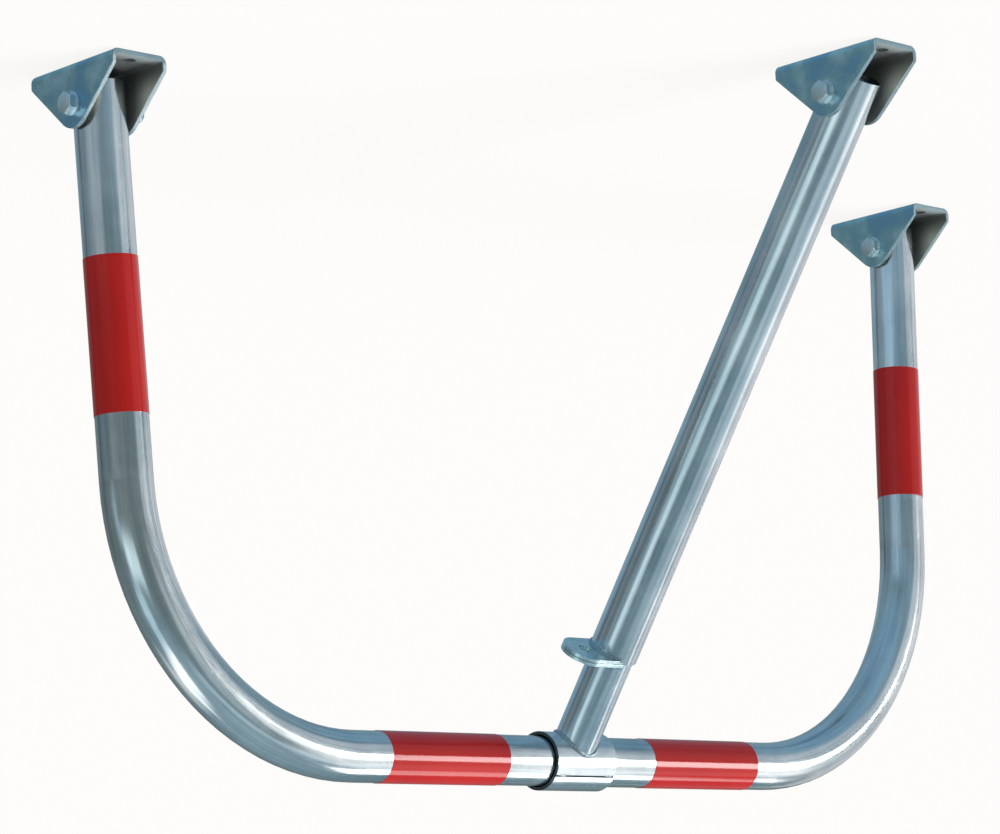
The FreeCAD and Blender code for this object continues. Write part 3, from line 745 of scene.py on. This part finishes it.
splay = hoopLine["legSplay"]
for side, sideName in ((-1, "Left"), (1, "Right")):
    low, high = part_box("band_crown_" + sideName.lower())
    ends = (Vector((low.x, 0, crownMiddle.z)), Vector((high.x, 0, crownMiddle.z)))
    layLap("lapCrown" + sideName, Vector((1, 0, 0)), *ends)
    low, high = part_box("band_leg_" + sideName.lower())
    lean = Vector((-side * math.sin(splay), 0, math.cos(splay)))
    spare = bandRadius * math.sin(splay)  # a leaning band's box is this much taller at each end
    middle = (low + high) / 2
    half = lean * ((high.z - low.z) / 2 - spare) / lean.z
    layLap("lapLeg" + sideName, lean, middle - half, middle + half)
print("tape laps laid")

# Camera of the photograph, rolled over because the picture is stored upside down.
photoView = {"eye": (2.16119, -2.15167, 0.7661), "toward": (-0.68844, 0.70479, -0.17127), "roll": 177.13,
             "lens": 128.82, "sensor": 36.0}


def placeCamera():
    data = bpy.data.cameras.new("photoCamera")
    camera = bpy.data.objects.new("photoCamera", data)
    bpy.context.scene.collection.objects.link(camera)
    data.lens = photoView["lens"]
    data.sensor_width = photoView["sensor"]
    camera.location = photoView["eye"]
    camera.rotation_mode = "QUATERNION"
    upright = Vector(photoView["toward"]).to_track_quat("-Z", "Y")
    camera.rotation_quaternion = upright @ Quaternion((0, 0, 1), math.radians(photoView["roll"]))
    bpy.context.scene.camera = camera


placeCamera()

# Studio: a pale floor, one soft key light, and a room of cards and soft boxes for the metal to mirror.
studio = {"floor": (0.10, 0.10, 0.10), "floorGlow": (0.89, 0.88, 0.863), "floorSize": 40.0,
          "floorRough": 0.9, "backdrop": (0.965, 0.956, 0.939), "skyFill": (0.56, 0.56, 0.56),
          "groundFill": (0.46, 0.47, 0.50), "fillBlend": (0.4, 0.6), "backFill": 0.45, "backSlant": 0.4,
          "backBlend": (-0.8, 0.9), "keyTurn": -50, "keyHeight": 58, "keyPower": 2.0, "keySoft": 40,
          "keyAway": 3}
# The room's tone by height angle, in degrees.
roomTones = [(-90, (0.18, 0.30, 0.40)), (-50, (0.19, 0.34, 0.48)), (-38, (0.19, 0.32, 0.42)),
             (-28, (0.19, 0.29, 0.35)), (-22, (0.21, 0.31, 0.37)), (-15, (0.26, 0.40, 0.52)),
             (-10, (0.21, 0.27, 0.285)), (-5, (0.15, 0.19, 0.195)), (20, (0.16, 0.21, 0.22)),
             (45, (0.19, 0.29, 0.34)), (70, (0.26, 0.38, 0.44)), (90, (0.27, 0.39, 0.45))]
# Cards are placed by their compass angle (0 in front at -Y, 90 at +X) and height angle, in degrees.
# Size is half the width and height, soft the blur of the edges, and a later card covers an earlier one.
roomCards = {
    "leftWall": {"turn": -92, "height": 6, "size": (30, 25), "soft": 10, "tone": (0.64, 0.67, 0.70)},
    "leftSkirt": {"turn": -46, "height": -30, "size": (14, 7), "soft": 10, "tone": (0.46, 0.53, 0.60)},
    "leftApron": {"turn": -36, "height": -15, "size": (20, 9), "soft": 8, "tone": (0.54, 0.60, 0.65)},
    "frontTop": {"turn": -12, "height": 46, "size": (34, 5.5), "soft": 16, "softUp": 8,
                 "tone": (0.50, 0.63, 0.70)},
    "topLeft": {"turn": -44, "height": 37, "size": (14, 6), "soft": 8, "tone": (0.72, 0.82, 0.88)},
    "frontLow": {"turn": -14, "height": 17, "size": (10, 16), "soft": 10, "tone": (0.42, 0.52, 0.56)},
    "keyLink": {"turn": -52, "height": 21, "size": (19, 9), "soft": 6, "tone": (0.95, 0.97, 0.98)},
    "keyRise": {"turn": -56, "height": 33, "size": (9.5, 7), "soft": 6, "tone": (1.25, 1.28, 1.30)},
    "keySide": {"turn": -35, "height": 8, "size": (7.5, 10), "soft": 8, "tone": (0.95, 0.98, 1.0)},
    "keyBox": {"turn": -48, "height": 5, "size": (6.5, 8), "soft": 3, "tone": (12.0, 12.0, 12.0)},
    "keyTop": {"turn": -76, "height": 47, "size": (12, 6.5), "soft": 5, "tone": (4.0, 4.0, 4.0)},
    "sideSkirt": {"turn": 78, "height": -19, "size": (22, 6.5), "soft": 22, "softUp": 4,
                  "tone": (0.34, 0.52, 0.66)},
    "sideHem": {"turn": 78, "height": -9.5, "size": (22, 2.5), "soft": 22, "softUp": 4,
                "tone": (0.47, 0.53, 0.57)},
    "sideLow": {"turn": 103, "height": 8, "size": (9, 8), "soft": 8, "tone": (0.34, 0.46, 0.52)},
    "sideBox": {"turn": 72, "height": 21, "size": (24, 7), "soft": 8, "tone": (0.85, 1.05, 1.10)},
    "sideRise": {"turn": 95, "height": 42, "size": (16, 12), "soft": 12, "tone": (0.55, 0.75, 0.85)},
    "rearTop": {"turn": 112, "height": 63, "size": (40, 10), "soft": 8, "tone": (1.6, 1.65, 1.65)},
    "rearWall": {"turn": 162, "height": 46, "size": (14, 9), "soft": 8, "tone": (0.65, 0.68, 0.70)},
    "rearBlue": {"turn": 134, "height": -14, "size": (24, 8), "soft": 8, "tone": (0.20, 0.27, 0.33)},
    "rearDark": {"turn": 153, "height": -6, "size": (7, 14), "soft": 9, "tone": (0.12, 0.15, 0.165)},
}


def layFloor():
    deselectAll()
    bpy.ops.mesh.primitive_plane_add(size=studio["floorSize"], location=(0, 0, 0))
    floor = bpy.context.object
    floor.name = "studioFloor"
    material = bpy.data.materials.new("paleFloor")
    material.use_nodes = True
    shader = material.node_tree.nodes["Principled BSDF"]
    shader.inputs["Base Color"].default_value = opaque(studio["floor"])
    shader.inputs["Roughness"].default_value = studio["floorRough"]
    shader.inputs["Specular IOR Level"].default_value = 0.0
    shader.inputs["Emission Color"].default_value = opaque(studio["floorGlow"])
    shader.inputs["Emission Strength"].default_value = 1.0
    floor.data.materials.append(material)
    floor.visible_glossy = False
    floor.visible_diffuse = False


def hangKeyLight():
    data = bpy.data.lights.new("keyLight", "SUN")
    data.energy = studio["keyPower"]
    data.angle = math.radians(studio["keySoft"])
    light = bpy.data.objects.new("keyLight", data)
    bpy.context.scene.collection.objects.link(light)
    turn, height = math.radians(studio["keyTurn"]), math.radians(studio["keyHeight"])
    level = math.cos(height)
    away = Vector((math.sin(turn) * level, -math.cos(turn) * level, math.sin(height)))
    light.location = away * studio["keyAway"]
    light.rotation_mode = "QUATERNION"
    light.rotation_quaternion = (-away).to_track_quat("-Z", "Y")
    light.visible_glossy = False


def hangCard(tree, turn, height, room, card):
    wide, tall = card["size"]
    blur = card["soft"] / 2
    blurUp = card.get("softUp", card["soft"]) / 2
    across = calc(tree, "ABSOLUTE", calc(tree, "SUBTRACT", turn, card["turn"]))
    up = calc(tree, "ABSOLUTE", calc(tree, "SUBTRACT", height, card["height"]))
    share = calc(tree, "MULTIPLY", spread(tree, across, wide - blur, wide + blur, 1.0, 0.0),
                 spread(tree, up, tall - blurUp, tall + blurUp, 1.0, 0.0))
    return mixed(tree, share, room, opaque(card["tone"]))


def background(tree, colour, strength=1.0):
    node = tree.nodes.new("ShaderNodeBackground")
    plug(tree, node.inputs["Color"], colour)
    plug(tree, node.inputs["Strength"], strength)
    return node.outputs[0]


def either(tree, share, first, second):
    node = tree.nodes.new("ShaderNodeMixShader")
    for socket, value in zip(node.inputs, (share, first, second)):
        plug(tree, socket, value)
    return node.outputs[0]


def paintRoom():
    world = bpy.data.worlds.new("studioRoom")
    bpy.context.scene.world = world
    world.use_nodes = True
    world.cycles.sampling_method = "NONE"
    tree = world.node_tree
    tree.nodes.clear()
    x, y, z = axes(tree, tree.nodes.new("ShaderNodeTexCoord").outputs["Generated"])
    degrees = math.degrees(1)
    turn = calc(tree, "MULTIPLY", calc(tree, "ARCTAN2", x, calc(tree, "MULTIPLY", y, -1.0)), degrees)
    height = calc(tree, "MULTIPLY", calc(tree, "ARCSINE", z), degrees)
    halfTurn = 180.0  # degrees from straight down to straight up
    rise = calc(tree, "ADD", calc(tree, "DIVIDE", height, halfTurn), 0.5)
    room = tint(tree, rise, [(angle / halfTurn + 0.5, tone) for angle, tone in roomTones])
    for card in roomCards.values():
        room = hangCard(tree, turn, height, room, card)
    # The mirrored room lights no dull face: those get a plain fill, weaker from behind.
    level = calc(tree, "ADD", calc(tree, "MULTIPLY", z, 0.5), 0.5)
    ground, sky = studio["fillBlend"]
    fill = tint(tree, level, [(ground, studio["groundFill"]), (sky, studio["skyFill"])])
    back = calc(tree, "ADD", y, calc(tree, "MULTIPLY", x, studio["backSlant"]))
    strength = spread(tree, back, *studio["backBlend"], 1.0, studio["backFill"])
    path = tree.nodes.new("ShaderNodeLightPath")
    seen = background(tree, opaque(studio["backdrop"]))
    lighting = background(tree, fill, strength)
    unseen = either(tree, path.outputs["Is Glossy Ray"], lighting, background(tree, room))
    output = tree.nodes.new("ShaderNodeOutputWorld")
    plug(tree, output.inputs["Surface"], either(tree, path.outputs["Is Camera Ray"], unseen, seen))


layFloor()
hangKeyLight()
paintRoom()
bpy.context.scene.view_settings.view_transform = "Standard"
print("studio set")
